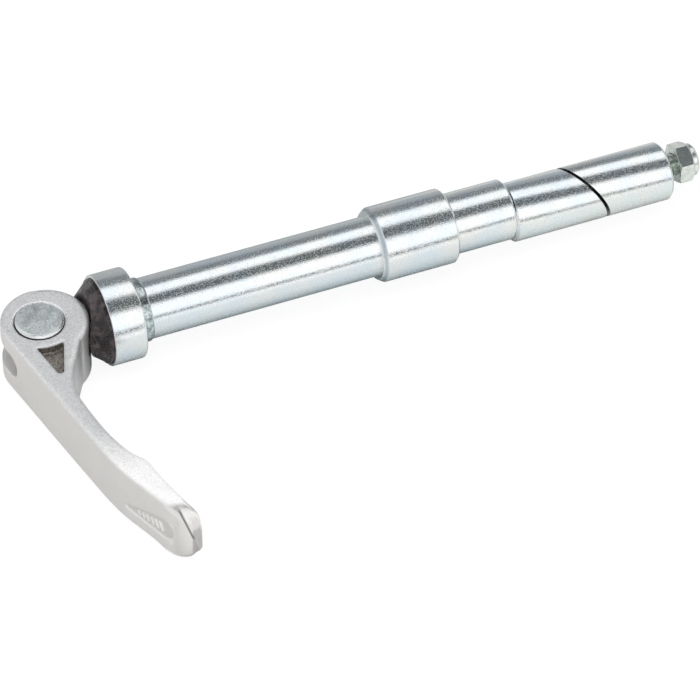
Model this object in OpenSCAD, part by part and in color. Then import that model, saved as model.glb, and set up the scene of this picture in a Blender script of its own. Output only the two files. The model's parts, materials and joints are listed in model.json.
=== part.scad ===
// Quick release through axle with a cam lever and an expanding split end.
// The axle runs along X. The origin is on its centre line, at the collar's
// bearing shoulder. The lever is closed and lies towards -Y. Millimetres.

/* [Sleeve] */
// Outside diameter of the collar that bears on the dropout
collar_d = 24; // [22:0.5:28]
// Width of the collar
collar_w = 8.8; // [7.5:0.1:12]
// Diameter of the low ring beside the collar
neck_d = 16.8; // [16.4:0.1:18]
// Width of the low ring
neck_w = 2.6; // [1.5:0.1:4]
// Diameter of the plain shank
shank_d = 16; // [15.6:0.1:17]
// Length from the shoulder to the hub land
shank_len = 65.5; // [40:0.5:100]
// Diameter of the hub land
land_d = 20; // [18:0.5:24]
// Length of the hub land
land_w = 21.4; // [10:0.1:30]
// Length of the lead-in at the start of the land
land_lead = 1.5; // [0.5:0.1:3]
// Diameter of the spigot behind the land
spigot_d = 16.2; // [15.6:0.1:17]
// Length of the spigot
spigot_w = 16.9; // [10:0.1:30]
// Bore right through the sleeve
bore_d = 13; // [12.8:0.1:13.6]
// Chamfer on the turned edges
turn_chamfer = 0.6; // [0.2:0.1:1]

/* [Cam seat] */
// Depth of the cup in the collar that holds the seat
cup_depth = 4.6; // [3:0.1:6]
// Steel rim left round the cup
cup_rim = 0.8; // [0.6:0.1:2]
// How far the seat's flange stands out of the cup
seat_proud = 0.8; // [0.2:0.1:1.5]
// Diameter of the seat's nose
nose_d = 15.5; // [14.5:0.5:18]
// How far the nose reaches past the collar's face
nose_reach = 5.4; // [4.5:0.1:6]

/* [Draw rod] */
// Outside diameter of the rod and its thread
rod_d = 6; // [5.6:0.1:6.2]
// How far the rod hangs below the centre line at the lever
rod_drop = 2.95; // [2.5:0.05:3.4]
// How far the rod hangs below the centre line at the nut
nut_drop = 0.7; // [0.5:0.1:1]
// Rod's end past the lock nut
rod_proud = 0.3; // [0.1:0.1:2]

/* [Pivot pin] */
// Diameter of the barrel pin
pin_d = 12.5; // [11.5:0.1:13]
// How far the pin stands out of each ear
pin_proud = 0.7; // [0.3:0.1:2]
// Distance from the collar's face to the pin
pin_reach = 15.95; // [15.5:0.05:17]

/* [Lever] */
// Radius of the two cams
cam_r = 11.3; // [11:0.1:12]
// Distance from the pin to the cams' centre
cam_offset = 1.4; // [0.8:0.1:1.6]
// Reach of the lever from its pin to its tip
lever_reach = 75.6; // [70:0.2:90]
// Height of the lever along its pin
lever_h = 17.5; // [15.5:0.1:19]
// Height of the slot that lets the rod through
slot_h = 7.2; // [7:0.1:8]
// Depth of the triangular pockets
pocket_depth = 2.6; // [1:0.1:3.2]
// Depth of the drop-shaped recess near the tip
recess_depth = 0.6; // [0.2:0.1:1]
// Radius of the round corners at the tip, seen from the side
tip_corner = 8; // [3:0.5:8.5]

/* [Wedges] */
// Outside diameter of the two wedges
wedge_d = 15.7; // [15:0.1:16]
// Bore of the wedges, loose on the rod
wedge_bore = 8.4; // [8.2:0.1:9]
// How far the wedges hang below the centre line
wedge_drop = 1.8; // [1.6:0.05:1.85]
// Length of both wedges together
wedge_len = 45.4; // [36:0.2:56]
// Distance from the start of the wedges to the middle of the cut
cut_place = 21.8; // [18:0.1:30]
// Angle of the cut, away from square
cut_angle = 32.5; // [20:0.5:35]
// Direction in which the cut leans, turned about the axle from +Y
cut_roll = 36.5; // [0:0.5:90]
// Gap between the two cut faces
cut_gap = 0.8; // [0.3:0.1:1.5]
// Chamfer on the wedges' ends
wedge_chamfer = 0.8; // [0.3:0.1:1.2]
// Gap between the spigot and the inner wedge
wedge_gap = 0.15; // [0.1:0.05:1]

/* [Lock nut] */
// Distance from the outer wedge to the nut
nut_gap = 3; // [2:0.1:8]
// Width across the nut's flats
nut_af = 9.8; // [9:0.1:10]
// Height of the nut with its crown
nut_h = 6; // [5:0.1:7]
// Height of the hexagon alone
hex_h = 4.3; // [3:0.1:4.8]
// Outside diameter of the crown
crown_d = 8.8; // [8:0.1:9.2]

/* [Hidden] */
$fn = 96;

// Radial clearance of a pin that turns in its hole
run_fit = 0.05;
// Gap between faces that slide or roll on each other
face_gap = 0.3;
// Gap between the cams and their saddle
saddle_gap = 0.4;
// Overshoot of every cutting tool
cut = 1;

land_x = shank_len;
spigot_x = land_x + land_w;
sleeve_end = spigot_x + spigot_w;
wedge_x = sleeve_end + wedge_gap;
wedge_end = wedge_x + wedge_len;
cut_x = wedge_x + cut_place;
nut_x = wedge_end + nut_gap;
pin_x = -collar_w - pin_reach;
cup_r = collar_d / 2 - cup_rim;
cup_x = -collar_w + cup_depth;
rod_tilt = atan((rod_drop - nut_drop) / (nut_x - pin_x));
rod_end = (nut_x + nut_h - pin_x) / cos(rod_tilt) + rod_proud;
nut_at = (nut_x - pin_x) / cos(rod_tilt);

// Collar's two edge radii and the cove that joins the ring to the shank
rim_round = 0.25;
collar_round = 0.7;
neck_cove = 0.5;

// How much the lead-in takes off the land's radius
land_drop = 1;

// Seat's flange stands behind a small step, and its nose is a cone
flange_r = cup_r - run_fit;
flange_step = 0.3;
nose_round = 0.8;
rod_slot_w = rod_d + 2 * face_gap;
rod_slot_low = rod_drop + rod_d / 2 + face_gap;

// Hole for the rod in the pin and the nut
rod_hole_r = rod_d / 2 + run_fit;

// Nut's bevels, and the nylon ring that its rolled lip holds
nut_bevel = 0.7;
crown_wall = 0.7;
lip = 0.4;
insert_r = crown_d / 2 - crown_wall;
insert_at = hex_h - nut_bevel;
insert_w = nut_h - insert_at - lip;

// The lever's rounded edges: the outer ridge at the head and where it is
// widest near the tip, the inner edge, and how high the rounding is
ridge_round = 0.5;
ridge_tip = 1.9;
inner_round = 1.3;
edge_rise = 0.9;
edge_rise_tip = 1.6;
// Share of the blade after which the rounding narrows again
ridge_peak = 0.85;
edge_steps = 4;
side_points = 60;
head_points = 22;
half_h = lever_h / 2;

// Outline of the lever round the pin, from the head to the tip. Each pair is
// a place on the outer or the inner edge of a lever with a reach of 75.6 mm.
drawn_reach = 75.6;
outer_edge = [for (p = [[-8.5, -8], [-6.8, -16.7], [-5.1, -25.4], [-3.4, -34],
                        [-1.7, -42.4], [-0.2, -49.5], [1.5, -55.5], [4.2, -62.2],
                        [7.2, -69.2], [9.3, -72.6], [12.2, -75.3]]) on_lever(p)];
inner_edge = [for (p = [[5, -13.9], [3.2, -16.7], [1.4, -21], [0.6, -26],
                        [1.2, -32], [2.8, -41], [4.6, -47], [6.4, -51],
                        [8.7, -54.3], [9.8, -59.5], [11.2, -65], [12.9, -69.8],
                        [14.6, -73.2], [14.8, -75.3]]) on_lever(p)];
outer_turn = 188;
inner_turn = -57;

// Pockets in the top and bottom faces: an arc round the pin, closed to a point
pocket_arc = 9.2;
pocket_from = 245;
pocket_to = 292;
pocket_point = [-0.9, -18.2];
pocket_r = 0.9;

// Groove that ends the slot, and the bevel round the pin's hole
slot_stop = 3;
hole_bevel = 0.5;

// Drop-shaped recess in the outer face: its round end and its point,
// as places along the lever and below its middle. It lies on the flat
// stretch between two points of the outer edge.
drop_round = [-68.6 * lever_reach / drawn_reach, -1.2];
drop_r = 3.3;
drop_point = [-56.8 * lever_reach / drawn_reach, -3.3];
drop_point_r = 0.8;
drop_flat = [outer_edge[6], outer_edge[8]];

function lerp(a, b, t) = a + (b - a) * t;

// A drawn place, moved along the lever to suit its reach
function on_lever(p) = [p[0], p[1] * lever_reach / drawn_reach];

// A smooth curve through the points p, with t from 0 to len(p) - 1
function spline_at(p, t) =
    let (n = len(p) - 1, i = min(floor(t), n - 1), f = t - i,
         a = p[max(i - 1, 0)], b = p[i], c = p[i + 1], d = p[min(i + 2, n)])
    0.5 * (2 * b + (c - a) * f + (2 * a - 5 * b + 4 * c - d) * f * f
           + (3 * b - a - 3 * c + d) * f * f * f);

function arc_at(angle) = [cam_offset + cam_r * cos(angle), cam_r * sin(angle)];

// One side of the lever: an arc of the cam, then the edge curve
function side(edge, start, stop) =
    let (arc = [for (i = [0:head_points]) arc_at(lerp(start, stop, i / head_points))],
         path = concat([arc[head_points]], edge),
         rest = side_points - head_points)
    concat(arc, [for (i = [1:rest]) spline_at(path, (len(path) - 1) * i / rest)]);

outer_side = side(outer_edge, 90, outer_turn);
inner_side = side(inner_edge, 90, inner_turn);

// Unit normal of a side at point i, turned by hand = 1 or -1
function side_normal(s, i, hand) =
    let (a = s[max(i - 1, 0)], b = s[min(i + 1, len(s) - 1)], v = (b - a) / norm(b - a))
    [v[1], -v[0]] * hand;

// How far below full height the lever is at a place y near its tip
tip_y = -lever_reach;
function tip_fall(y) =
    let (d = max(0, tip_corner - (y - tip_y)))
    tip_corner - sqrt(max(0, tip_corner * tip_corner - d * d));

module on_rod() {
    translate([pin_x, 0, -rod_drop]) rotate([0, -rod_tilt, 0]) children();
}

module along_x(x) {
    translate([x, 0, 0]) rotate([90, 0, 90]) children();
}

// A turned solid about X from a profile of [x, radius] pairs
module turned(profile) {
    rotate([0, 90, 0]) rotate_extrude()
        polygon([for (p = profile) [p[1], p[0]]]);
}

module axle_sleeve() {
    c = turn_chamfer;
    r = collar_round;
    e = rim_round;
    outside = concat(
        [for (a = [180:-15:90]) [-collar_w + e + e * cos(a), collar_d / 2 - e + e * sin(a)]],
        [for (a = [90:-15:0]) [-r + r * cos(a), collar_d / 2 - r + r * sin(a)]],
        [[0, neck_d / 2], [neck_w, neck_d / 2],
         [neck_w + neck_cove, shank_d / 2], [land_x, shank_d / 2],
         [land_x, land_d / 2 - land_drop], [land_x + land_lead, land_d / 2],
         [spigot_x - c, land_d / 2], [spigot_x, land_d / 2 - c],
         [spigot_x, spigot_d / 2],
         [sleeve_end - c, spigot_d / 2], [sleeve_end, spigot_d / 2 - c]]);
    inside = [[sleeve_end, bore_d / 2], [cup_x, bore_d / 2],
              [cup_x, cup_r], [-collar_w, cup_r]];
    color("lightsteelblue") turned(concat(outside, inside));
}

module cam_seat() {
    face = -collar_w - seat_proud;
    nose_x = -collar_w - nose_reach;
    color([0.12, 0.11, 0.12]) difference() {
        turned([[cup_x - run_fit, 0], [cup_x - run_fit, flange_r], [face, flange_r],
                [face, flange_r - flange_step],
                [nose_x + nose_round, nose_d / 2], [nose_x, nose_d / 2 - nose_round],
                [nose_x, 0]]);
        // Saddle for the cams
        on_rod() translate([cam_offset, 0, 0])
            cylinder(r = cam_r + saddle_gap, h = 4 * collar_d, center = true);
        // Slot in which the rod can settle
        for (z = [0, rod_slot_w / 2 - rod_slot_low])
            translate([-collar_w, 0, z]) rotate([0, 90, 0])
                cylinder(d = rod_slot_w, h = 4 * cup_depth + 4 * nose_reach, center = true);
        translate([-2 * collar_w, -rod_slot_w / 2, rod_slot_w / 2 - rod_slot_low])
            cube([2 * collar_w + cut, rod_slot_w, rod_slot_low - rod_slot_w / 2]);
    }
}

module draw_rod() {
    // The end stays inside the pin, so that the slot can turn round it
    tail = sqrt(pow(pin_d / 2 - face_gap, 2) - pow(rod_d / 2, 2));
    color("silver") on_rod() turned([[-tail, 0], [-tail, rod_d / 2],
        [rod_end - turn_chamfer, rod_d / 2], [rod_end, rod_d / 2 - turn_chamfer], [rod_end, 0]]);
}

module pivot_pin() {
    reach = half_h + pin_proud;
    c = turn_chamfer;
    color("slategray") on_rod() difference() {
        rotate_extrude() polygon([[0, -reach], [pin_d / 2 - c, -reach], [pin_d / 2, c - reach],
            [pin_d / 2, reach - c], [pin_d / 2 - c, reach], [0, reach]]);
        rotate([0, 90, 0]) cylinder(r = rod_hole_r, h = 2 * pin_d, center = true);
    }
}

// The cast body: rings of the outline, drawn in towards the top and bottom
module lever_body() {
    n = side_points;
    row = 2 * n + 1;
    quarter = [for (i = [0:edge_steps]) 90 * i / edge_steps];
    levels = concat([for (a = quarter) [-1, cos(a), 1 - sin(a)]],
                    [for (a = quarter) [1, sin(a), 1 - cos(a)]]);
    last = len(levels) - 1;
    points = [for (v = levels) each concat(
        [for (i = [0:n]) lever_point(outer_side, i, ridge_at(i) * v[2], 1, v)],
        [for (i = [n:-1:1]) lever_point(inner_side, i, inner_at(i) * v[2], -1, v)])];
    walls = [for (k = [0:last - 1], i = [0:row - 1])
        let (a = k * row + i, b = k * row + (i + 1) % row)
        each [[a, a + row, b], [b, a + row, b + row]]];
    caps = [for (i = [0:n - 1]) let (c = row - 1 - i, d = (row - i) % row)
        each (i == 0 ? [[0, 1, c]] : [[i, i + 1, c], [i, c, d]])];
    top = [for (f = caps) [for (i = [2:-1:0]) last * row + f[i]]];
    polyhedron(points, concat(walls, caps, top));
}

// How far along the blade point i is, from 0 at the head to 1 at the tip
function blade_part(i) = max(0, i - head_points) / (side_points - head_points);
function ridge_share(i) =
    let (t = blade_part(i))
    min(t / ridge_peak, (1 - t) / (1 - ridge_peak));
function ridge_at(i) = lerp(ridge_round, ridge_tip, ridge_share(i));
function rise_at(i) = lerp(edge_rise, edge_rise_tip, ridge_share(i));
function inner_at(i) =
    blade_part(i) < ridge_peak ? inner_round : lerp(ridge_round, inner_round, ridge_share(i));

// A point of the body: level v holds the side, the rise and the inset
function lever_point(s, i, inset, hand, v) =
    let (p = s[i] - side_normal(s, i, hand) * inset,
         h = half_h - tip_fall(outer_side[i][1]) - rise_at(i) * (1 - v[1]))
    [p[0], p[1], v[0] * h];

// Outline round two circles, as [centre, radius] pairs
function round_hull(c1, r1, c2, r2) =
    let (v = c2 - c1, phi = atan2(v[1], v[0]), beta = acos((r1 - r2) / norm(v)))
    concat([for (i = [0:24]) let (a = phi + beta + (360 - 2 * beta) * i / 24)
                c1 + r1 * [cos(a), sin(a)]],
           [for (i = [0:8]) let (a = phi - beta + 2 * beta * i / 8)
                c2 + r2 * [cos(a), sin(a)]]);

module pocket_shape() {
    turn = [for (a = [-25:-13:-155]) pocket_point + pocket_r * [cos(a), sin(a)]];
    polygon(concat([for (a = [pocket_from:pocket_to]) pocket_arc * [cos(a), sin(a)]], turn));
}

// Places a cut on the lever's outer face, with X towards the tip and Y up
module on_outer_face(y) {
    a = drop_flat[0];
    b = drop_flat[1];
    translate([lerp(a[0], b[0], (y - a[1]) / (b[1] - a[1])), y, 0])
        rotate([90, 0, atan2(b[1] - a[1], b[0] - a[0])]) children();
}

module drop_recess() {
    a = drop_flat[0];
    b = drop_flat[1];
    reach = (drop_point[0] - drop_round[0]) * norm(b - a) / (b[1] - a[1]);
    on_outer_face(drop_round[0]) translate([0, 0, -recess_depth])
        linear_extrude(recess_depth + cut)
            polygon(round_hull([0, drop_round[1]], drop_r, [reach, drop_point[1]], drop_point_r));
}

module rod_slot() {
    width = 4 * cam_r;
    translate([-width / 2, -slot_stop, -slot_h / 2]) cube([width, width, slot_h]);
    translate([0, -slot_stop, 0]) rotate([0, 90, 0]) cylinder(d = slot_h, h = width, center = true);
}

module cam_lever() {
    hole_r = pin_d / 2 + run_fit;
    color("gainsboro") on_rod() difference() {
        lever_body();
        rod_slot();
        cylinder(r = hole_r, h = 4 * lever_h, center = true);
        drop_recess();
        for (turn = [0, 180]) rotate([turn, 0, 0]) {
            translate([0, 0, half_h - hole_bevel])
                cylinder(r1 = hole_r, r2 = hole_r + 2 * hole_bevel, h = 2 * hole_bevel);
        }
        for (hand = [0, 1]) mirror([0, 0, hand])
            translate([0, 0, half_h - pocket_depth]) linear_extrude(pocket_depth + cut) pocket_shape();
    }
}

module wedge_blank() {
    c = wedge_chamfer;
    translate([0, 0, -wedge_drop]) turned([
        [wedge_x, wedge_bore / 2], [wedge_x, wedge_d / 2 - c], [wedge_x + c, wedge_d / 2],
        [wedge_end - c, wedge_d / 2], [wedge_end, wedge_d / 2 - c], [wedge_end, wedge_bore / 2]]);
}

// Everything on one side of the slanting cut: hand is -1 or 1
module beyond_cut(hand) {
    size = 2 * wedge_len;
    translate([cut_x, 0, -wedge_drop]) rotate([cut_roll, 0, 0]) rotate([0, 0, cut_angle])
        translate([hand * (size + cut_gap) / 2, 0, 0]) cube(size, center = true);
}

module inner_wedge() {
    color("lightsteelblue") intersection() {
        wedge_blank();
        beyond_cut(-1);
    }
}

module outer_wedge() {
    color("lightsteelblue") intersection() {
        wedge_blank();
        beyond_cut(1);
    }
}

module lock_nut() {
    hex_r = nut_af / 2 / cos(30);
    bevel = nut_bevel;
    color("silver") on_rod() translate([nut_at, 0, 0]) difference() {
        union() {
            intersection() {
                rotate([0, 90, 0]) cylinder(r = hex_r, h = hex_h, $fn = 6);
                turned([[0, 0], [0, hex_r - bevel], [bevel / 2, hex_r], [hex_h - bevel, hex_r],
                        [hex_h, nut_af / 2 - bevel / 2], [hex_h, 0]]);
            }
            turned([[hex_h - bevel, 0], [hex_h - bevel, crown_d / 2], [nut_h - bevel, crown_d / 2],
                    [nut_h, crown_d / 2 - bevel], [nut_h, 0]]);
        }
        rotate([0, 90, 0]) cylinder(r = rod_hole_r, h = 4 * nut_h, center = true);
        translate([insert_at, 0, 0]) rotate([0, 90, 0])
            cylinder(r = insert_r + run_fit, h = insert_w + run_fit);
        translate([insert_at, 0, 0]) rotate([0, 90, 0]) cylinder(r = insert_r - lip, h = nut_h);
    }
}

module nut_insert() {
    color("whitesmoke") on_rod() translate([nut_at + insert_at, 0, 0])
        turned([[0, rod_hole_r], [0, insert_r], [insert_w, insert_r], [insert_w, rod_hole_r]]);
}

axle_sleeve();
cam_seat();
draw_rod();
pivot_pin();
cam_lever();
inner_wedge();
outer_wedge();
lock_nut();
nut_insert();
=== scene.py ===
"""Quick release through axle with a cam lever: its finishes and its studio."""

import json
import math

import bmesh
import bpy
from bpy.props import FloatProperty, FloatVectorProperty, IntProperty, PointerProperty
from mathutils import Matrix, Vector


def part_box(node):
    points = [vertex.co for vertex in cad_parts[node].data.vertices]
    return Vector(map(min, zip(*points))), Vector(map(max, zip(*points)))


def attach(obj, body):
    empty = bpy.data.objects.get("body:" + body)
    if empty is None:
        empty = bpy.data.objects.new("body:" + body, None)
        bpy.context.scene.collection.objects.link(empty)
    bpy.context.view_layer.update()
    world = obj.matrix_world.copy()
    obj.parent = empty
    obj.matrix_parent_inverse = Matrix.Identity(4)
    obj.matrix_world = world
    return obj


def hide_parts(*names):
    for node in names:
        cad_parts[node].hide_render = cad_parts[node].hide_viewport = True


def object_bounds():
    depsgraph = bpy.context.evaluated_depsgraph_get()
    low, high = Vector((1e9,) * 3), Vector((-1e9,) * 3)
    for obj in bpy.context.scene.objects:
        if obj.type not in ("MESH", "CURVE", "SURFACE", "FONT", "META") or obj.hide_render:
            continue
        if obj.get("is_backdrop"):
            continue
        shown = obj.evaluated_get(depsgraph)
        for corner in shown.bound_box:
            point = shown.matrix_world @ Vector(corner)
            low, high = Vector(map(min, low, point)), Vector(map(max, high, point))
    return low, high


bl_info = {
    "name": "Quick Release Through Axle",
    "version": (1, 0, 0),
    "blender": (4, 5, 0),
    "location": "View3D > Sidebar > Through Axle",
    "description": "Dresses the frame of a quick release through axle and lights it",
    "category": "Object",
}

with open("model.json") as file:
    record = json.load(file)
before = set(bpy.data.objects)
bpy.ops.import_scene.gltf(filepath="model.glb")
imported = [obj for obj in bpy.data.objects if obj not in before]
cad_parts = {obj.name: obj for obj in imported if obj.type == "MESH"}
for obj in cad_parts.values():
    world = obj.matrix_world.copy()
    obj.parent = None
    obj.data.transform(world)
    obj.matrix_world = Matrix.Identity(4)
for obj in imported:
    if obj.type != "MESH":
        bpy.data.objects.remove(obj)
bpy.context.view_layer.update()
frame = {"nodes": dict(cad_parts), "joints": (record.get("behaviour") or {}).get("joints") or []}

MM = 0.001
JOINTS = {joint["name"]: joint for joint in frame["joints"]}
SLEEVE_LOW, SLEEVE_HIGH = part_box("axle_sleeve")
INNER_LOW, INNER_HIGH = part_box("inner_wedge")
OUTER_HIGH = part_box("outer_wedge")[1]
NUT_LOW, NUT_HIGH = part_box("lock_nut")
PIN_LOW, PIN_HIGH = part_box("pivot_pin")
PIN_PLACE = Vector(JOINTS["lever_pivot"]["pos_m"])
PIN_AXIS = -Vector(JOINTS["lever_pivot"]["axis"])
ROD_TILT = math.asin(-PIN_AXIS.x)
ROD_FRAME = Matrix.Translation(PIN_PLACE) @ Matrix.Rotation(-ROD_TILT, 4, "Y")
WEDGE_LINE = (INNER_LOW.z + INNER_HIGH.z) / 2

# The cut's normal lies square to the wedge's travel, in one plane with the axle
SHIFT = Vector(JOINTS["wedge_shift"]["axis"])
LEAN = Vector((0, SHIFT.y, SHIFT.z)).normalized()
CUT_NORMAL = Vector((LEAN.dot(SHIFT), 0, 0)) - LEAN * SHIFT.x

# Rounding of the turned edges, and how near two points are merged
FINE_EDGE = 0.12 * MM
TURNED_MERGE = 0.001 * MM
CAD_MERGE = 0.002 * MM

# The thread starts this far before the nut
THREAD_BEFORE_NUT = 9 * MM

# Half of the lever's thickness. Its places are in the frame of the barrel pin and the rod
LEVER_HALF = 8.75 * MM

# The pocket's three sides, each a normal in X and Y and a distance
POCKET_SIDES = ((0.978, 0.208, -5.5 * MM), (-0.941, 0.339, -6.1 * MM), (0, -1, 8.0 * MM))

# The flat stretch of the outer face that holds the drop-shaped recess
RECESS_FROM = Vector((1.5, -55.5, 0)) * MM
RECESS_TO = Vector((7.2, -69.2, 0)) * MM
RECESS_WAY = (RECESS_TO - RECESS_FROM).normalized()
RECESS_OUT = Vector((RECESS_WAY.y, -RECESS_WAY.x, 0))

# The row of ribs in the recess: its start and length, its height and climb
ROW_START, ROW_LENGTH = 4.6 * MM, 9.4 * MM
ROW_HEIGHT, ROW_CLIMB = -2.9 * MM, 1.4 * MM

# The ribs' length at the pointed end, how much it grows along the row, and their lean
RIB_LENGTH, RIB_GROWTH = 1.4 * MM, 1.8 * MM
RIB_LEAN = math.radians(24)

# The painted line of shade beside the tip's facet: its X at the middle height, its lean and where it
# ends
CREASE_X = 12.38 * MM
CREASE_LEAN = 0.318
CREASE_END = (-72.6 * MM, -71 * MM)

# The photograph's camera
CAMERA_PLACE = Vector((-0.25994, -0.73507, 0.78094))
CAMERA_AZIMUTH = math.radians(-23.564)
CAMERA_ELEVATION = math.radians(45.55)
CAMERA_ROLL = math.radians(1.473)
CAMERA_LENS = 222.85
CAMERA_SENSOR = 36

# The table's half width and middle, and the lamp over the axle
TABLE_HALF = 1.2
TABLE_MIDDLE = 0.07
LAMP_OFFSET = Vector((-0.2, -0.1, 0.8))
LAMP_WIDTH = 0.5
LAMP_POWER = 2.5


def mm(*values):
    """Lengths in millimetres, in metres."""
    return tuple(value * MM for value in values)


def length(name, default, description):
    """A size that the user can change, in metres."""
    return FloatProperty(
        name=name, description=description, default=default, min=0, unit="LENGTH", precision=5
    )


def colour(name, default, description):
    """A finish colour that the user can change."""
    return FloatVectorProperty(
        name=name, description=description, default=default, size=3, min=0, max=1, subtype="COLOR"
    )


class AxleSizes(bpy.types.PropertyGroup):
    """Sizes of the dressed pieces: those of the CAD repeat it, the finer ones are the scene's."""

    rim_edge: length("Collar's cup edge", 0.25 * MM, "Rounding of the collar's edge at the cup")
    collar_edge: length("Collar's inner edge", 0.7 * MM, "Rounding of the edge at the shoulder")
    neck_d: length("Neck", 16.8 * MM, "Diameter of the low ring beside the collar")
    neck_w: length("Neck width", 2.6 * MM, "Width of the low ring")
    shank_d: length("Shank", 16 * MM, "Diameter of the plain shank")
    land_x: length("Land start", 65.5 * MM, "Distance from the shoulder to the hub land")
    land_d: length("Land", 20 * MM, "Diameter of the hub land")
    land_w: length("Land width", 21.4 * MM, "Length of the hub land")
    land_lead: length("Lead-in", 1.5 * MM, "Length of the lead-in at the start of the land")
    land_drop: length("Lead-in drop", 1 * MM, "How much the lead-in takes off the land's radius")
    spigot_d: length("Spigot", 16.2 * MM, "Diameter of the spigot")
    bore_d: length("Bore", 13 * MM, "Bore through the sleeve")
    cup_x: length("Cup", 4.2 * MM, "Distance from the shoulder back to the cup's floor")
    cup_rim: length("Cup rim", 0.8 * MM, "Steel left round the cup")
    chamfer: length("Chamfer", 0.6 * MM, "Chamfer on the turned edges")
    wedge_bore: length("Wedge bore", 8.4 * MM, "Bore of the two wedges")
    wedge_chamfer: length("Wedge chamfer", 0.8 * MM, "Chamfer on the wedges' ends")
    cut_gap: length("Cut gap", 0.8 * MM, "Gap between the wedges' cut faces")
    cut_place: length("Cut place", 21.8 * MM, "Start of the wedges to the middle of the cut")
    rod_d: length("Rod", 6 * MM, "Outside diameter of the rod")
    rod_tail: length("Rod tail", 5.14 * MM, "How far the rod runs past the pin's axis")
    rod_proud: length("Rod end", 0.25 * MM, "Rod's end past the lock nut")
    pitch: length("Pitch", 1 * MM, "Pitch of the rod's thread")
    thread_depth: length("Thread depth", 0.6 * MM, "Depth of the rod's thread")
    pin_d: length("Pin", 12.5 * MM, "Diameter of the barrel pin")
    insert_at: length("Insert place", 3.6 * MM, "Nylon ring's distance from the nut's face")
    insert_w: length("Insert width", 2 * MM, "Width of the nylon ring")
    insert_d: length("Insert", 7.4 * MM, "Outside diameter of the nylon ring")
    tip_from: length("Tip", 66 * MM, "Where the tip's round corners begin")
    tip_fade: length("Tip's fade", 3 * MM, "How far the lower corner's change takes to come in")
    tip_end: length("Tip's end", 72.2 * MM, "Where the tip turns in past the recess")
    tip_x: length("Tip's corner", 12.2 * MM, "Where the tip's lower edge starts to rise")
    tip_rise: length("Tip's rise", 11 * MM, "How far along the blade this rise takes to come in")
    tip_corner: length("Tip corner", 8 * MM, "Radius of the tip's upper corner")
    tip_low_corner: length("Tip's lower corner", 3.4 * MM, "Radius of the tip's lower corner")
    recess_depth: length("Recess depth", 0.6 * MM, "Depth of the drop-shaped recess")
    rib_w: length("Rib width", 0.55 * MM, "Width of the ribs in the recess")
    rib_d: length("Rib height", 0.35 * MM, "Height of the ribs in the recess")
    rib_count: IntProperty(name="Ribs", description="Ribs in the recess", default=6, min=0, max=12)
    nut_grain: length("Nut grain", 0.12 * MM, "Voxel size of the nut's soft edges")
    seat_grain: length("Seat grain", 0.2 * MM, "Voxel size of the cam seat's soft edges")
    lever_grain: length("Lever grain", 0.27 * MM, "Voxel size of the lever's soft edges")
    steps: IntProperty(
        name="Steps", description="Facets round a turned piece", default=160, min=24, max=360
    )


class AxleColours(bpy.types.PropertyGroup):
    """Base colours of the finishes."""

    zinc: colour("Zinc", (0.93, 0.95, 0.96), "Bright zinc plate on turned steel")
    aluminium: colour("Aluminium", (0.90, 0.875, 0.86), "Outer face of the casting")
    aluminium_top: colour("Aluminium top", (0.915, 0.905, 0.905), "Top and bottom of the casting")
    pin: colour("Pin", (0.76, 0.80, 0.80), "Rough turned steel of the barrel pin")
    plastic: colour("Plastic", (0.014, 0.011, 0.012), "Black moulded plastic")
    rod: colour("Rod", (0.60, 0.66, 0.60), "Plated steel of the draw rod")
    nut: colour("Nut", (0.92, 0.95, 0.93), "Plated steel of the lock nut")
    nylon: colour("Nylon", (0.70, 0.72, 0.70), "Locking ring in the nut")


class Value:
    """A shader socket on which Python's operators add Math nodes."""

    def __init__(self, finish, socket):
        self.finish = finish
        self.socket = socket

    def math(self, operation, *terms):
        return self.finish.node("Math", {"operation": operation}, dict(enumerate(terms)))

    def __add__(self, other):
        return self.math("ADD", self, other)

    def __sub__(self, other):
        return self.math("SUBTRACT", self, other)

    def __rsub__(self, other):
        return self.math("SUBTRACT", other, self)

    def __mul__(self, other):
        return self.math("MULTIPLY", self, other)

    def __truediv__(self, other):
        return self.math("DIVIDE", self, other)

    def __abs__(self):
        return self.math("ABSOLUTE", self)

    __radd__ = __add__
    __rmul__ = __mul__


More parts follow.
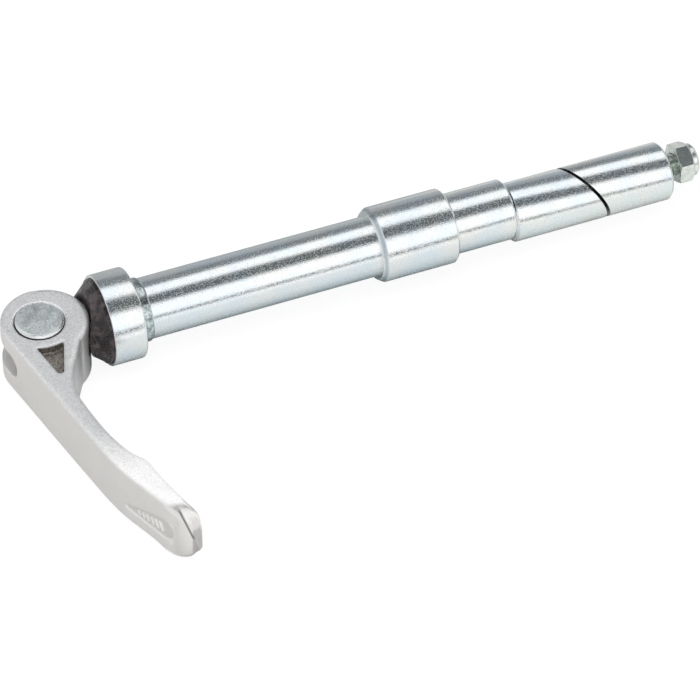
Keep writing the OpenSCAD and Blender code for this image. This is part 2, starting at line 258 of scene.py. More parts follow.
class Finish:
    """Builds one node tree, for a material or for the world."""

    def __init__(self, owner):
        owner.use_nodes = True
        self.tree = owner.node_tree
        self.tree.nodes.clear()

    def node(self, kind, settings=None, inputs=None, out=0):
        """Adds a node: its settings first, then the values or links of its sockets."""
        node = self.tree.nodes.new("ShaderNode" + kind)
        for name, value in (settings or {}).items():
            if name == "stops":
                set_stops(node.color_ramp, value)
            else:
                setattr(node, name, value)
        for name, value in (inputs or {}).items():
            if isinstance(value, Value):
                self.tree.links.new(value.socket, node.inputs[name])
            else:
                node.inputs[name].default_value = value
        return Value(self, node.outputs[out]) if len(node.outputs) else node

    def blend(self, factor, first, second, mode="MIX"):
        """Mixes two colours."""
        settings = {"data_type": "RGBA", "blend_type": mode}
        return self.node("Mix", settings, {0: factor, 6: first, 7: second}, out=2)

    def place(self):
        """The piece's own coordinates, in metres."""
        return self.node("TexCoord", out="Object")

    def coordinate(self, axis):
        """One of the piece's own coordinates."""
        return self.node("SeparateXYZ", None, {0: self.place()}, out=axis)

    def from_pin(self, axis):
        """One coordinate, measured from the barrel pin's middle."""
        return self.coordinate(axis) - getattr(PIN_PLACE, axis.lower())

    def radius(self, across, along):
        """Distance from the barrel pin's own line."""
        return self.node("Math", {"operation": "SQRT"}, {0: across * across + along * along})

    def plane(self, normal, point):
        """How far the piece's surface lies beyond a plane."""
        place = self.node("VectorMath", {"operation": "SUBTRACT"}, {0: self.place(), 1: point})
        return self.node("VectorMath", {"operation": "DOT_PRODUCT"}, {0: place, 1: normal}, out="Value")

    def noise(self, grain, detail=3, roughness=0.5, stretch=(1, 1, 1), at=None):
        """Noise whose grains are about this many metres across."""
        vector = at or self.place()
        place = self.node("Mapping", {"vector_type": "POINT"}, {"Vector": vector, "Scale": stretch})
        inputs = {"Vector": place, "Scale": 1 / grain, "Detail": detail, "Roughness": roughness}
        return self.node("TexNoise", {"normalize": True}, inputs)

    def step(self, value, low, high, start=0, end=1):
        """Rises smoothly from start to end while the value goes from low to high."""
        settings = {"interpolation_type": "SMOOTHSTEP"}
        return self.node("MapRange", settings, {0: value, 1: low, 2: high, 3: start, 4: end})

    def band(self, value, rise, fall):
        """One between a smooth rise and a smooth fall, each given by its two ends."""
        return self.step(value, *rise) * self.step(value, *fall, 1, 0)

    def tone(self, level):
        """A grey whose level varies."""
        return self.node("CombineColor", None, {0: level, 1: level, 2: level})

    def bump(self, height, distance):
        """Height in units of the distance, which is in metres."""
        return self.node("Bump", None, {"Height": height, "Distance": distance})

    def surface(self, **inputs):
        """Closes the tree with a Principled shader."""
        names = {name.replace("_", " "): value for name, value in inputs.items()}
        shader = self.node("BsdfPrincipled", None, names)
        self.node("OutputMaterial", None, {"Surface": shader})


def set_stops(ramp, stops):
    """Gives a colour ramp its (position, colour) stops."""
    while len(ramp.elements) < len(stops):
        ramp.elements.new(1)
    for element, (position, shade) in zip(ramp.elements, stops):
        element.position = position
        element.color = shade


def opaque(shade, level=1):
    """A colour with full alpha."""
    return (*(channel * level for channel in shade), 1)


def grey(level):
    return (level, level, level, 1)


def zinc_finish(finish, colours):
    """Bright zinc plate: speckled grain, faint clouds, short scratches, a greyer lead-in, and painted
    shade: dark streaks beside the collar and near black cut faces on the wedges.
    """
    sizes = bpy.context.scene.axle_sizes
    along = finish.coordinate("X")
    cloud = finish.noise(9 * MM, detail=2)
    warm, cold = opaque((1, 0.985, 0.965)), opaque((0.92, 0.965, 1))
    tint = finish.blend(finish.step(cloud, 0.35, 0.65), warm, cold)
    green = finish.step(finish.noise(5 * MM, stretch=(0.4, 1, 1)), 0.55, 0.75, 0, 0.5)
    tint = finish.blend(green, tint, opaque((0.93, 1, 0.96)))
    base = finish.blend(1.0, opaque(colours.zinc), tint, "MULTIPLY")

    # Painted shade from the collar: the low neck ring beside it darkened in teal streaks.
    neck = finish.step(along, *mm(0, 0.1))
    neck = neck * finish.step(along - sizes.neck_w, *mm(0.1, 0.6), 1, 0)
    painted_streak = finish.step(finish.noise(0.9 * MM), 0.3, 0.65, 0.15, 0.8)
    base = finish.blend(neck * painted_streak, base, opaque((0.17, 0.24, 0.22)))

    # The lead-in cone is made greyer and bluer, in patches that follow the clouds.
    lead_in_grey = finish.band(along - sizes.land_x, mm(0.2, 0.6), mm(1.0, 1.4))
    lead_in_grey = lead_in_grey * finish.step(cloud, 0.3, 0.7, 0.7, 1)
    base = finish.blend(lead_in_grey, base, opaque((0.50, 0.57, 0.62)))

    # Painted shade in the narrow gap: the wedges' cut faces turn near black.
    middle = Vector((INNER_LOW.x + sizes.cut_place, 0, WEDGE_LINE))
    from_cut_face = abs(finish.plane(CUT_NORMAL, middle)) - sizes.cut_gap / 2
    base = finish.blend(finish.step(from_cut_face, *mm(-0.04, 0.05), 1, 0), base, grey(0.055))

    grain = finish.noise(0.26 * MM, detail=2, roughness=0.6)
    speck = finish.step(finish.noise(0.33 * MM, detail=2, roughness=0.7), 0.47, 0.6)
    scratch = finish.step(finish.noise(0.26 * MM, detail=1, stretch=(0.2, 1, 1)), 0.70, 0.75)
    rough = 0.07 + speck * 0.3 + scratch * 0.2
    bump = finish.bump(grain, 0.026 * MM)
    finish.surface(Base_Color=base, Metallic=1.0, Roughness=rough, Normal=bump)


def recess_masks(finish, along, up):
    """The floor of the drop-shaped recess and the ribs on it: masks for painted shade on the floor and
    a painted highlight on the ribs.
    """
    proud = finish.plane(RECESS_OUT, PIN_PLACE + RECESS_FROM)
    lengthwise = finish.band(along, mm(-71.7, -71.3), mm(-56.5, -56))
    upwards = finish.band(up, mm(-5.4, -5), mm(2.2, 2.6))
    near = lengthwise * upwards * finish.step(proud, *mm(-1.2, -1))
    floor = near * finish.step(proud, *mm(-0.45, -0.3), 1, 0)
    rib = near * finish.band(proud, mm(-0.38, -0.3), mm(-0.2, -0.1))
    return floor, rib


def crease_masks(finish, across, along, up):
    """Masks for painted shade: a dark line at the crease beside the facet at the lever's tip, and a
    little shade on the face in front of it.
    """
    slant = across + up * CREASE_LEAN - CREASE_X
    end = finish.step(along, *CREASE_END, 1, 0)
    crease = finish.step(abs(slant), *mm(0.14, 0.44), 1, 0) * end
    crease = crease * finish.band(up, mm(-1.2, 0.4), mm(7.2, 7.8))
    before = end * finish.step(slant, *mm(-0.08, 0.12), 1, 0)
    return crease, before


def aluminium_finish(finish, colours):
    """Tumbled casting: grainy on its top and bottom, smoother on its outer face."""
    across, along, up = (finish.from_pin(axis) for axis in "XYZ")
    depth = LEVER_HALF - abs(up)
    flat = finish.step(depth, *mm(0.35, 1.15), 1, 0)
    pocket = finish.band(depth, mm(0.25, 0.85), mm(3.05, 3.55))
    for x, y, distance in POCKET_SIDES:
        pocket = pocket * finish.step(across * x + along * y - distance, *mm(-0.15, 0.15))
    floor, rib = recess_masks(finish, along, up)
    crease, before = crease_masks(finish, across, along, up)
    from_hole = finish.radius(across, along) - bpy.context.scene.axle_sizes.pin_d / 2
    bevel = finish.step(from_hole, *mm(0.65, 0.85), 1, 0)

    grain = finish.noise(0.5 * MM, detail=4, roughness=0.7)
    pits = finish.noise(0.25 * MM, detail=2)
    wave = finish.noise(7 * MM, detail=1)
    speck = finish.step(grain * 0.7 + pits * 0.3, 0.35, 0.65, -1, 1)
    rough_cast = flat * finish.step(along, -66 * MM, -40 * MM, 0.05, 0.12)
    # Painted shade and highlight: the recess floor is darker and its ribs lighter.
    shade = 1 + speck * (0.03 + rough_cast) + (wave - 0.5) * 0.06 - floor * 0.11 + rib * 0.1
    # Painted shade: the crease beside the tip's facet goes dark, and the face in front of it a little
    # darker.
    shade = shade - crease * 0.62 - before * 0.12

    base = finish.blend(flat, opaque(colours.aluminium), opaque(colours.aluminium_top))
    base = finish.blend(bevel, base, grey(0.97))
    dark, light = opaque((0.13, 0.115, 0.10)), opaque((0.46, 0.42, 0.38))
    base = finish.blend(pocket, base, finish.blend(finish.step(grain, 0.35, 0.65), dark, light))
    base = finish.blend(1.0, base, finish.tone(shade), "MULTIPLY")
    rough = finish.step(grain, 0.3, 0.7, 0.32, 0.44) - bevel * 0.1
    relief = (grain * 0.6 + pits * 0.4) * (0.3 + flat + pocket * 1.5 + floor) + wave * 0.4
    bump = finish.bump(relief, 0.07 * MM)
    metallic = 0.82 - flat * finish.step(along, -60 * MM, -38 * MM, 0.7, 0)
    finish.surface(Base_Color=base, Metallic=metallic, Roughness=rough, Normal=bump)


def pin_finish(finish, colours):
    """Rough turned steel, grey green on its ends and bright on its side, with painted shade darkening
    it down in the lever's hole.
    """
    across, along, up = (finish.from_pin(axis) for axis in "XYZ")
    radius = finish.radius(across, along)
    from_side = radius - bpy.context.scene.axle_sizes.pin_d / 2
    side = finish.step(from_side, *mm(-0.85, -0.55))
    grain = finish.noise(0.5 * MM, detail=4, roughness=0.7)
    cloud = finish.noise(2.4 * MM, detail=2)
    shade = finish.step(grain * 0.8 + cloud * 0.4, 0.4, 0.8)
    face = finish.blend(shade, opaque(colours.pin, 0.62), opaque(colours.pin, 1.2))
    base = finish.blend(side, face, opaque((0.86, 0.88, 0.87)))
    # Painted shade in the lever's hole: the pin is near black below the lever's faces.
    foot = finish.step(LEVER_HALF - abs(up), *mm(0, 0.2), 1, 0.08)
    base = finish.blend(1.0, base, finish.tone(foot), "MULTIPLY")
    rings = finish.noise(0.6 * MM, detail=2, at=finish.node("CombineXYZ", None, {0: radius}))
    bump = finish.bump(grain * 0.8 + rings * 0.6, 0.07 * MM)
    rough = finish.step(cloud, 0.3, 0.7, 0.34, 0.46) - side * 0.14
    finish.surface(Base_Color=base, Metallic=0.9, Roughness=rough, Normal=bump)


def plastic_finish(finish, colours):
    """Black moulded plastic, lighter brownish in clouds, with an oily bump and roughness and a painted
    sheen of lighter streaks.
    """
    cloud = finish.step(finish.noise(2.5 * MM), 0.42, 0.7)
    base = finish.blend(cloud, opaque(colours.plastic), opaque((0.075, 0.056, 0.058)))
    # Painted sheen: lighter grey streaks along X, painted into the colour.
    painted_streak = finish.noise(1.3 * MM, roughness=0.6, stretch=(1, 0.35, 0.35))
    base = finish.blend(finish.step(painted_streak, 0.58, 0.75), base, opaque((0.10, 0.09, 0.095)))
    bump = finish.bump(finish.noise(2.2 * MM, roughness=0.6), 0.5 * MM)
    rough = finish.step(finish.noise(1.2 * MM), 0.3, 0.7, 0.10, 0.30)
    finish.surface(Base_Color=base, Metallic=0.0, Roughness=rough, Normal=bump)


def steel_finish(finish, shade, roughness):
    """Plated steel of the small fastenings, with a little grime."""
    cloud = finish.noise(1.6 * MM)
    base = finish.blend(finish.step(cloud, 0.35, 0.7), opaque(shade), opaque(shade, 0.8))
    bump = finish.bump(finish.noise(0.35 * MM), 0.03 * MM)
    rough = finish.step(cloud, 0.3, 0.7, roughness, roughness + 0.14)
    finish.surface(Base_Color=base, Metallic=1.0, Roughness=rough, Normal=bump)


def rod_finish(finish, colours):
    """Plated steel of the draw rod."""
    steel_finish(finish, colours.rod, 0.22)


def nut_finish(finish, colours):
    """Brighter plated steel of the lock nut."""
    steel_finish(finish, colours.nut, 0.16)


def nylon_finish(finish, colours):
    """Milky nylon of the locking ring."""
    cloud = finish.noise(1.5 * MM)
    base = finish.blend(cloud, opaque(colours.nylon, 0.9), opaque(colours.nylon))
    rough = finish.step(cloud, 0.3, 0.7, 0.4, 0.5)
    finish.surface(Base_Color=base, Metallic=0.0, Roughness=rough)


FINISHES = {
    "zinc_steel": zinc_finish,
    "cast_aluminium": aluminium_finish,
    "pin_steel": pin_finish,
    "black_plastic": plastic_finish,
    "rod_steel": rod_finish,
    "nut_steel": nut_finish,
    "nylon": nylon_finish,
}


def finish_for(slot_name):
    """The material of one of the record's slots, made once."""
    name = "finish_" + slot_name
    made = bpy.data.materials.get(name)
    if made:
        return made
    material = bpy.data.materials.new(name)
    FINISHES[slot_name](Finish(material), bpy.context.scene.axle_colours)
    return material


def smooth(mesh, angle=35):
    """Smooth shading, broken at edges sharper than this many degrees."""
    mesh.polygons.foreach_set("use_smooth", [True] * len(mesh.polygons))
    mesh.set_sharp_from_angle(angle=math.radians(angle))


def finished(bm, name, node, body, slot_name, angle=35):
    """Turns a bmesh into the piece that stands for a CAD node."""
    mesh = bpy.data.meshes.new(name)
    bm.to_mesh(mesh)
    bm.free()
    smooth(mesh, angle)
    piece = bpy.data.objects.new(name, mesh)
    bpy.context.scene.collection.objects.link(piece)
    mesh.materials.append(finish_for(slot_name))
    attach(piece, body)
    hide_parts(node)
    for slot in frame["nodes"][node].material_slots:
        slot.material = finish_for(slot_name)
    return piece


def turned(profile, closed=True, steps=None):
    """Spins a profile of (x, radius, rounding) corners about X."""
    bm = bmesh.new()
    corners = [bm.verts.new((x, 0, radius)) for x, radius, rounding in profile]
    for pair in zip(corners, corners[1:] + corners[:1] if closed else corners[1:]):
        bm.edges.new(pair)
    for rounding in sorted({corner[2] for corner in profile} - {0}):
        bmesh.ops.bevel(
            bm,
            geom=[v for v, corner in zip(corners, profile) if corner[2] == rounding],
            offset=rounding,
            offset_type="OFFSET",
            affect="VERTICES",
            segments=4,
            profile=0.5,
            material=-1,
        )
    bmesh.ops.spin(
        bm,
        geom=bm.verts[:] + bm.edges[:],
        cent=(0, 0, 0),
        axis=(1, 0, 0),
        angle=math.tau,
        steps=steps or bpy.context.scene.axle_sizes.steps,
        use_merge=True,
    )
    bmesh.ops.remove_doubles(bm, verts=bm.verts, dist=TURNED_MERGE)
    bmesh.ops.recalc_face_normals(bm, faces=bm.faces)
    return bm


def place(bm, matrix):
    """Moves a whole bmesh."""
    bmesh.ops.transform(bm, matrix=matrix, verts=bm.verts)
    return bm


def sleeve_mesh(sizes):
    """The stepped sleeve, from the cup's rim to the spigot's end and back through the bore."""
    left, right, top = SLEEVE_LOW.x, SLEEVE_HIGH.x, SLEEVE_HIGH.z
    cup_r = top - sizes.cup_rim
    neck, shank, land = sizes.neck_d / 2, sizes.shank_d / 2, sizes.land_d / 2
    spigot, bore = sizes.spigot_d / 2, sizes.bore_d / 2
    land_end = sizes.land_x + sizes.land_w
    c, fine, lead, drop = sizes.chamfer, FINE_EDGE, sizes.land_lead, sizes.land_drop
    return turned([
        (left, cup_r, fine), (left, top, sizes.rim_edge), (0, top, sizes.collar_edge),
        (0, neck, 0), (sizes.neck_w, neck, fine), (sizes.neck_w + 0.5 * MM, shank, fine),
        (sizes.land_x, shank, 0), (sizes.land_x, land - drop, fine),
        (sizes.land_x + lead, land, fine),
        (land_end - c, land, fine), (land_end, land - c, fine), (land_end, spigot, 0),
        (right - c, spigot, fine), (right, spigot - c, fine), (right, bore, fine),
        (-sizes.cup_x, bore, fine), (-sizes.cup_x, cup_r, 0),
    ])


def wedge_mesh(sizes, hand):
    """One wedge: the whole turned blank, cut on one side of the slanting gap."""
    left, right, c, fine = INNER_LOW.x, OUTER_HIGH.x, sizes.wedge_chamfer, FINE_EDGE
    radius, bore = (INNER_HIGH.z - INNER_LOW.z) / 2, sizes.wedge_bore / 2
    bm = turned([
        (left, bore, fine), (left, radius - c, fine), (left + c, radius, fine),
        (right - c, radius, fine), (right, radius - c, fine), (right, bore, fine),
    ])
    place(bm, Matrix.Translation((0, 0, WEDGE_LINE)))
    middle = Vector((left + sizes.cut_place, 0, WEDGE_LINE))
    cut = bmesh.ops.bisect_plane(
        bm,
        geom=bm.verts[:] + bm.edges[:] + bm.faces[:],
        plane_co=middle + CUT_NORMAL * hand * sizes.cut_gap / 2,
        plane_no=CUT_NORMAL * hand,
        clear_inner=True,
    )
    rim = [e for e in cut["geom_cut"] if isinstance(e, bmesh.types.BMEdge)]
    bmesh.ops.bridge_loops(bm, edges=rim)
    bmesh.ops.recalc_face_normals(bm, faces=bm.faces)
    bmesh.ops.bevel(
        bm, geom=rim, offset=fine, offset_type="OFFSET", affect="EDGES",
        segments=2, profile=0.5, material=-1,
    )
    return bm


def along_rod(x):
    """The place along the rod that stands at this X."""
    return (x - PIN_PLACE.x) / math.cos(ROD_TILT)


def thread_ridge(sizes, core, turns, around=36):
    """The thread's ridge, wound about X from the first turn's middle."""
    ridge = bmesh.new()
    root, crest, top = 0.46 * sizes.pitch, 0.07 * sizes.pitch, sizes.rod_d / 2 - 0.02 * MM
    foot = core - 0.1 * MM
    corners = [(-root, foot), (-root, core), (-crest, top), (crest, top), (root, core), (root, foot)]
    face = ridge.faces.new([ridge.verts.new((x, 0, r)) for x, r in corners])
    bmesh.ops.spin(
        ridge,
        geom=[face, *face.edges, *face.verts],
        cent=(0, 0, 0),
        axis=(1, 0, 0),
        dvec=(sizes.pitch / around, 0, 0),
        angle=math.tau * turns,
        steps=around * turns,
        use_merge=False,
    )
    return ridge


def rod_mesh(sizes):
    """The draw rod, with a helical thread at its nut end."""
    radius, edge = sizes.rod_d / 2, 0.1 * MM
    core = radius - sizes.thread_depth
    end = along_rod(NUT_HIGH.x) + sizes.rod_proud
    thread_start = along_rod(NUT_LOW.x) - THREAD_BEFORE_NUT
    first, last = thread_start + 0.9 * MM, end - 0.7 * MM
    bm = turned([
        (-sizes.rod_tail, 0, 0), (-sizes.rod_tail, radius, edge),
        (thread_start, radius, edge), (thread_start + 0.4 * MM, core, 0),
        (end - 0.3 * MM, core, edge), (end, core - 0.4 * MM, edge), (end, 0, 0),
    ], closed=False, steps=64)
    ridge = thread_ridge(sizes, core, int((last - first) / sizes.pitch))
    place(ridge, Matrix.Translation((first, 0, 0)))
    bmesh.ops.recalc_face_normals(ridge, faces=ridge.faces)
    held = bpy.data.meshes.new("thread")
    ridge.to_mesh(held)
    ridge.free()
    bm.from_mesh(held)
    bpy.data.meshes.remove(held)
    return place(bm, ROD_FRAME)


def pin_mesh(sizes):
    """The barrel pin, standing on the rod's line."""
    radius, c, fine = sizes.pin_d / 2, sizes.chamfer, FINE_EDGE
    reach = (PIN_HIGH.z - PIN_LOW.z) / 2 / math.cos(ROD_TILT) - radius * math.tan(ROD_TILT)
    bm = turned([
        (-reach, 0, 0), (-reach, radius - c, fine), (c - reach, radius, fine),
        (reach - c, radius, fine), (reach, radius - c, fine), (reach, 0, 0),
    ], closed=False)
    return place(bm, ROD_FRAME @ Matrix.Rotation(math.radians(-90), 4, "Y"))


def insert_mesh(sizes):
    """The nylon ring in the nut's crown."""
    start = along_rod(NUT_LOW.x) + sizes.insert_at
    end = start + sizes.insert_w
    inner, outer = sizes.rod_d / 2 + 0.05 * MM, sizes.insert_d / 2
    profile = [(start, inner, 0), (start, outer, 0), (end, outer, 0), (end, inner, 0.25 * MM)]
    return place(turned(profile, steps=64), ROD_FRAME)


def corner_fall(inside, radius):
    """How much a round corner takes off, this far inside the end. It is its own inverse."""
    depth = max(0, radius - inside)
    return radius - math.sqrt(max(0, radius * radius - depth * depth))


def fill_tip(bm, sizes):
    """Fills out the tip's lower corner and lifts its lower edge at the inner side.

    Beside the recess only the strip below it moves, as high as the new corner.
    """
    half = max(v.co.z for v in bm.verts)
    for v in bm.verts:
        past = -v.co.y - sizes.tip_from
        if v.co.z >= 0 or past <= 0:
            continue
        fall = min(half + v.co.z, sizes.tip_corner)
        if fall < sizes.tip_low_corner or -v.co.y > sizes.tip_end:
            lower = corner_fall(corner_fall(fall, sizes.tip_corner), sizes.tip_low_corner) - half
            v.co.z += (lower - v.co.z) * min(1, past / sizes.tip_fade)
        v.co.z += max(0, v.co.x - sizes.tip_x) * min(1, past / sizes.tip_rise)


def add_ribs(bm, sizes):
    """Small leaning ribs on the floor of the drop-shaped recess."""
    turn = Matrix((RECESS_WAY, Vector((0, 0, 1)), RECESS_OUT)).transposed().to_4x4()
    turn = turn @ Matrix.Rotation(RIB_LEAN, 4, "Z")
    sunk = RECESS_OUT * (sizes.recess_depth - sizes.rib_d / 2)
    for index in range(sizes.rib_count):
        share = (index + 0.5) / sizes.rib_count
        spot = RECESS_FROM + RECESS_WAY * (ROW_START + share * ROW_LENGTH) - sunk
        spot += Vector((0, 0, ROW_HEIGHT + ROW_CLIMB * share))
        size = Matrix.Diagonal((sizes.rib_w, RIB_LENGTH + RIB_GROWTH * share, 2 * sizes.rib_d, 1))
        bmesh.ops.create_cube(bm, size=1, matrix=Matrix.Translation(spot) @ turn @ size)


def dress_lever(bm):
    """Shapes the tip and adds the ribs, in the frame of the barrel pin and the rod."""
    sizes = bpy.context.scene.axle_sizes
    place(bm, ROD_FRAME.inverted())
    fill_tip(bm, sizes)
    add_ribs(bm, sizes)
    place(bm, ROD_FRAME)


def softened(node, name, body, slot_name, grain, dress=None):
    """A CAD solid with the soft edges of a moulding or casting."""
    bm = bmesh.new()
    bm.from_mesh(frame["nodes"][node].data)
    bmesh.ops.remove_doubles(bm, verts=bm.verts, dist=CAD_MERGE)
    if dress:
        dress(bm)
    piece = finished(bm, name, node, body, slot_name, angle=180)
    remesh = piece.modifiers.new("soft edges", "REMESH")
    remesh.mode = "VOXEL"
    remesh.voxel_size = grain
    remesh.use_smooth_shade = True
    relax = piece.modifiers.new("relax", "SMOOTH")
    relax.factor = 0.5
    relax.iterations = 2
    apply_modifiers(piece)


def apply_modifiers(piece):
    """Bakes a piece's modifiers into its mesh."""
    graph = bpy.context.evaluated_depsgraph_get()
    mesh = bpy.data.meshes.new_from_object(piece.evaluated_get(graph))
    old, name = piece.data, piece.data.name
    piece.modifiers.clear()
    piece.data = mesh
    bpy.data.meshes.remove(old)
    mesh.name = name
    smooth(mesh, 180)


class AXLE_OT_sleeve(bpy.types.Operator):
    """Make the stepped steel sleeve and the two wedges"""

    bl_idname = "axle.sleeve"
    bl_label = "Sleeve and Wedges"

    def execute(self, context):
        sizes = context.scene.axle_sizes
        finished(sleeve_mesh(sizes), "stepped_sleeve", "axle_sleeve", "sleeve", "zinc_steel")
        finished(wedge_mesh(sizes, -1), "wedge_at_spigot", "inner_wedge", "turning_head", "zinc_steel")
        finished(wedge_mesh(sizes, 1), "wedge_at_nut", "outer_wedge", "split_end", "zinc_steel")
        return {"FINISHED"}


class AXLE_OT_rod(bpy.types.Operator):
    """Make the draw rod, the barrel pin, the lock nut and its nylon ring"""

    bl_idname = "axle.rod"
    bl_label = "Rod, Pin and Nut"

    def execute(self, context):
        sizes = context.scene.axle_sizes
        finished(rod_mesh(sizes), "threaded_rod", "draw_rod", "draw", "rod_steel", angle=25)
        finished(pin_mesh(sizes), "barrel_pin", "pivot_pin", "draw", "pin_steel")
        finished(insert_mesh(sizes), "nylon_ring", "nut_insert", "draw", "nylon")
        softened("lock_nut", "hexagon_nut", "draw", "nut_steel", sizes.nut_grain)
        return {"FINISHED"}


class AXLE_OT_seat(bpy.types.Operator):
    """Make the moulded cam seat"""

    bl_idname = "axle.seat"
    bl_label = "Cam Seat"

    def execute(self, context):
        grain = context.scene.axle_sizes.seat_grain
        softened("cam_seat", "moulded_seat", "turning_head", "black_plastic", grain)
        return {"FINISHED"}


class AXLE_OT_lever(bpy.types.Operator):
    """Make the cast cam lever"""

    bl_idname = "axle.lever"
    bl_label = "Cam Lever"

    def execute(self, context):
        grain = context.scene.axle_sizes.lever_grain
        softened("cam_lever", "cast_lever", "lever", "cast_aluminium", grain, dress_lever)
        return {"FINISHED"}


# What the metal sees of the room, by the angle about X in degrees: 0 is towards Y and 90 is up
STUDIO_BANDS = [
    (-180, (0.74, 0.76, 0.77)), (-48, (0.42, 0.43, 0.44)), (20, (0.38, 0.40, 0.42)),
    (25, (0.19, 0.21, 0.22)), (51, (0.19, 0.21, 0.22)), (57, (1.1, 1.12, 1.13)),
    (87, (1.1, 1.12, 1.13)), (92, (0.12, 0.135, 0.14)), (122, (0.12, 0.135, 0.14)),
    (130, (1.15, 1.15, 1.15)), (171, (1.12, 1.14, 1.15)), (173.5, (0.02, 0.025, 0.03)),
    (180, (0.02, 0.025, 0.03)),
]

# What the metal sees of the table, by the distance in Y from the axle in millimetres: painted shade,
# darker near the axle and behind it, where the table lay in shade
TABLE_BANDS = [
    (-90, (0.95, 0.95, 0.95)), (-76, (0.90, 0.90, 0.90)), (-70, (0.76, 0.78, 0.785)),
    (-20, (0.71, 0.74, 0.745)), (-12, (0.58, 0.62, 0.63)), (-7, (0.44, 0.48, 0.49)),
    (0, (0.42, 0.44, 0.45)), (30, (0.38, 0.40, 0.41)),
]


def banded(finish, value, bands):
    """The bands' colours along a value that runs over their own numbers."""
    first, last = bands[0][0], bands[-1][0]
    stops = [((edge - first) / (last - first), opaque(shade)) for edge, shade in bands]
    return finish.node("ValToRGB", {"stops": stops}, {0: (value - first) / (last - first)})


def table_finish(finish):
    """White for the camera, bands for the metal, and light grey for the rest."""
    camera = finish.node("LightPath", out="Is Camera Ray")
    glossy = finish.node("LightPath", out="Is Glossy Ray")
    along, across = finish.coordinate("X"), finish.coordinate("Y")
    seen = banded(finish, across / MM, TABLE_BANDS)
    # Seen by the metal only, with painted shade on the table: darker beside the lever and light again
    # beyond its tip, warmer towards the nut, and a darker strip beside the tip for its facet and inner
    # side.
    beyond_tip = finish.step(across, -80 * MM, -72 * MM)
    beside = finish.blend(beyond_tip, grey(0.9), opaque((0.595, 0.60, 0.592)))
    seen = finish.blend(finish.step(along, -16 * MM, -10 * MM), beside, seen)
    by_nut = finish.step(along, 85 * MM, 125 * MM, 0, 0.42)
    seen = finish.blend(by_nut, seen, opaque((0.92, 0.91, 0.84)))
    by_tip = finish.band(along, mm(-17, -13), mm(-2, 2)) * finish.step(across, *mm(-54, -46), 1, 0)
    seen = finish.blend(by_tip, seen, grey(0.36))
    shade = finish.blend(glossy, grey(0.85), seen)
    shade = finish.blend(camera, shade, grey(0.14))
    diffuse = finish.node("BsdfDiffuse", None, {"Color": shade})
    lift = finish.node("Emission", None, {"Color": grey(1), "Strength": camera * 0.9})
    both = finish.node("AddShader", None, {0: diffuse, 1: lift})
    finish.node("OutputMaterial", None, {"Surface": both})


def make_table(low):
    """A white table that keeps the object's shadow."""
    bm = bmesh.new()
    bmesh.ops.create_grid(bm, x_segments=1, y_segments=1, size=TABLE_HALF)
    place(bm, Matrix.Translation((TABLE_MIDDLE, 0, low)))
    mesh = bpy.data.meshes.new("table")
    bm.to_mesh(mesh)
    bm.free()
    table = bpy.data.objects.new("table", mesh)
    bpy.context.scene.collection.objects.link(table)
    material = bpy.data.materials.new("white_table")
    table_finish(Finish(material))
    mesh.materials.append(material)
    table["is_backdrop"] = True


def make_world():
    """A white room for the camera, with dark and bright cards for the metal."""
    world = bpy.data.worlds.new("studio")
    bpy.context.scene.world = world
    finish = Finish(world)
    way = finish.node("TexCoord", out="Generated")
    parts = (finish.node("SeparateXYZ", None, {0: way}, out=axis) for axis in "XYZ")
    sideways, across, height = parts
    turn = height.math("ARCTAN2", height, across) * (360 / math.tau)
    cards = banded(finish, turn, STUDIO_BANDS)
    side = opaque((0.72, 0.745, 0.755))
    cards = finish.blend(finish.step(sideways, -0.66, -0.46), side, cards)
    glossy = finish.node("LightPath", out="Is Glossy Ray")
    camera = finish.node("LightPath", out="Is Camera Ray")
    room = finish.blend(glossy, grey(0.8), cards)
    shown = finish.blend(camera, room, grey(1))
    background = finish.node("Background", None, {"Color": shown, "Strength": 1.0})
    finish.node("OutputWorld", None, {"Surface": background})


def make_lamp(name, target):
    """A soft square lamp that metal does not mirror."""
    light = bpy.data.lights.new(name, "AREA")
    light.size = LAMP_WIDTH
    light.energy = LAMP_POWER
    lamp = bpy.data.objects.new(name, light)
    lamp.location = target + LAMP_OFFSET
    lamp.rotation_euler = (-LAMP_OFFSET).to_track_quat("-Z", "Y").to_euler()
    lamp.visible_glossy = False
    bpy.context.scene.collection.objects.link(lamp)


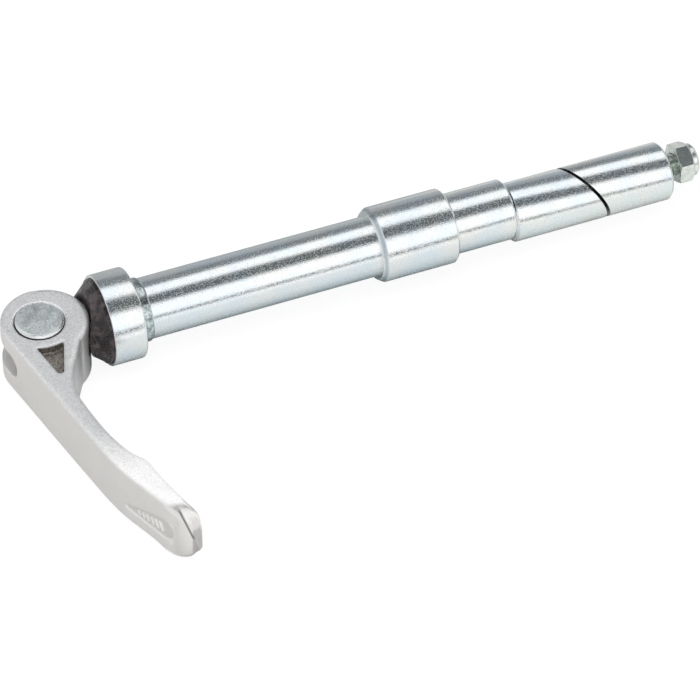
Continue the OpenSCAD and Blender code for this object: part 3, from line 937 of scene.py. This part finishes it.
def make_camera():
    """The photograph's camera: its direction, roll, distance and lens."""
    data = bpy.data.cameras.new("camera")
    data.sensor_width = CAMERA_SENSOR
    data.lens = CAMERA_LENS
    camera = bpy.data.objects.new("camera", data)
    level, rise = math.cos(CAMERA_ELEVATION), math.sin(CAMERA_ELEVATION)
    back = Vector((math.sin(CAMERA_AZIMUTH) * level, -math.cos(CAMERA_AZIMUTH) * level, rise))
    right = (-back).cross(Vector((0, 0, 1))).normalized()
    up = right.cross(-back)
    turned_right = math.cos(CAMERA_ROLL) * right + math.sin(CAMERA_ROLL) * up
    turned_up = -math.sin(CAMERA_ROLL) * right + math.cos(CAMERA_ROLL) * up
    stance = Matrix((turned_right, turned_up, back)).transposed().to_4x4()
    camera.matrix_world = Matrix.Translation(CAMERA_PLACE) @ stance
    bpy.context.scene.collection.objects.link(camera)
    bpy.context.scene.camera = camera


class AXLE_OT_stage(bpy.types.Operator):
    """Make the table, the room, the lamp and the camera"""

    bl_idname = "axle.stage"
    bl_label = "Stage"

    def execute(self, context):
        low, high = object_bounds()
        make_table(low.z)
        make_world()
        make_lamp("overhead", (low + high) / 2)
        make_camera()
        context.scene.view_settings.view_transform = "Standard"
        return {"FINISHED"}


class AXLE_PT_panel(bpy.types.Panel):
    """Lists the pieces in the order in which they are made"""

    bl_idname = "AXLE_PT_panel"
    bl_label = "Through Axle"
    bl_space_type = "VIEW_3D"
    bl_region_type = "UI"
    bl_category = "Through Axle"

    def draw(self, context):
        for operator in STEPS:
            self.layout.operator(operator.bl_idname)
        for group in (context.scene.axle_sizes, context.scene.axle_colours):
            for name in group.__annotations__:
                self.layout.prop(group, name)


STEPS = (AXLE_OT_sleeve, AXLE_OT_rod, AXLE_OT_seat, AXLE_OT_lever, AXLE_OT_stage)
CLASSES = (AxleSizes, AxleColours, *STEPS, AXLE_PT_panel)


def register():
    for item in CLASSES:
        bpy.utils.register_class(item)
    bpy.types.Scene.axle_sizes = PointerProperty(type=AxleSizes)
    bpy.types.Scene.axle_colours = PointerProperty(type=AxleColours)


def unregister():
    del bpy.types.Scene.axle_colours
    del bpy.types.Scene.axle_sizes
    for item in reversed(CLASSES):
        bpy.utils.unregister_class(item)


def main():
    register()
    bpy.ops.axle.sleeve()
    bpy.ops.axle.rod()
    bpy.ops.axle.seat()
    bpy.ops.axle.lever()
    bpy.ops.axle.stage()


if __name__ == "__main__":
    main()
